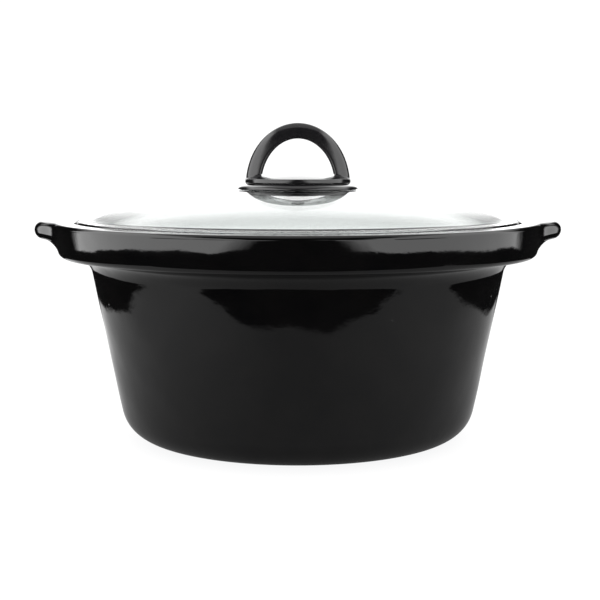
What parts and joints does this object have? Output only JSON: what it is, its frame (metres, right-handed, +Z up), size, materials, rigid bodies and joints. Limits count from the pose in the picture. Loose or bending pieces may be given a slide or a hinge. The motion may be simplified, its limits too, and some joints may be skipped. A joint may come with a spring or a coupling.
{
  "type": "slow cooker crock with lid",
  "caption": "Oval black glazed stoneware crock with a wide flange and end lugs, and a lift-off domed clear glass lid with a loop knob.",
  "frame": {"origin": "middle of the crock's foot, on the surface that it stands on", "axes": "+X along the oval's long axis, from lug to lug; +Y across it, with -Y to the front; +Z up"},
  "size_m": [0.3748, 0.2656, 0.228],
  "materials": {
    "black_glaze": "deep black high-gloss glaze",
    "clear_glass": "clear tempered glass with a polished round edge",
    "black_phenolic": "glossy moulded black phenolic",
    "white_silicone": "soft white silicone",
    "stainless_steel": "satin stainless steel",
    "insert_brass": "bright machined brass"
  },
  "bodies": {
    "crock": {"stoneware_crock": "black_glaze"},
    "lid": {"lid_glass": "clear_glass", "knob_loop": "black_phenolic", "knob_disc": "black_phenolic", "knob_gasket": "white_silicone", "hole_bush": "white_silicone", "sealing_washer": "white_silicone", "clamp_washer": "stainless_steel", "knob_screw": "stainless_steel", "threaded_insert": "insert_brass"}
  },
  "joints": [
    {"name": "lid_lift", "type": "slide", "parent": "crock", "child": "lid", "axis": [0, 0, 1], "range_m": [0, 0.12]}
  ]
}
